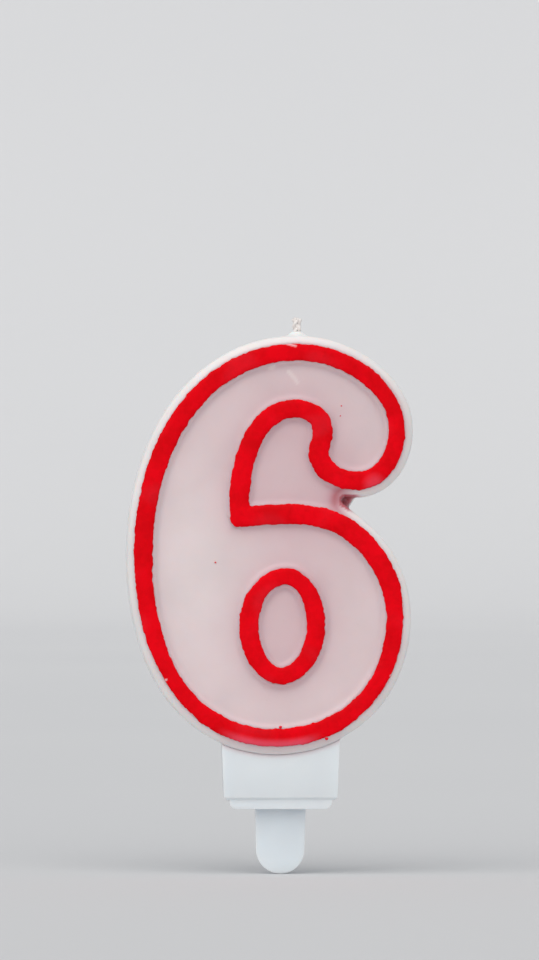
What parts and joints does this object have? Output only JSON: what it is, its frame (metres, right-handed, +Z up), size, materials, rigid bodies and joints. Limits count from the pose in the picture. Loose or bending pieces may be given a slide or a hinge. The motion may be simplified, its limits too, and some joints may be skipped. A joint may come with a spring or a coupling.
{
  "type": "number birthday candle",
  "caption": "Cast wax numeral six with a raised red outline, a short wick at its crown and a plastic cup holder whose flat tongue pushes into a cake.",
  "frame": {"origin": "middle of the plinth's underside, where the tongue leaves it and the holder rests on the cake", "axes": "+Z up the figure, away from the cake; the numeral's painted front faces -Y; +X to the right as the numeral is read"},
  "size_m": [0.0519, 0.0108, 0.1005],
  "materials": {
    "white_wax": "cast paraffin wax, slightly translucent, satin",
    "red_wax": "dipped red wax line, satin, slightly uneven",
    "cotton_wick": "plaited cotton, primed with wax",
    "white_polypropylene": "moulded natural polypropylene, translucent, satin"
  },
  "bodies": {
    "holder": {"holder": "white_polypropylene"},
    "figure": {"wax_body": "white_wax", "outline_contour": "red_wax", "outline_counter": "red_wax", "wick": "cotton_wick"}
  },
  "joints": [
    {"name": "figure_pull", "type": "slide", "parent": "holder", "child": "figure", "axis": [0, 0, 1], "range_m": [0, 0.006]}
  ]
}
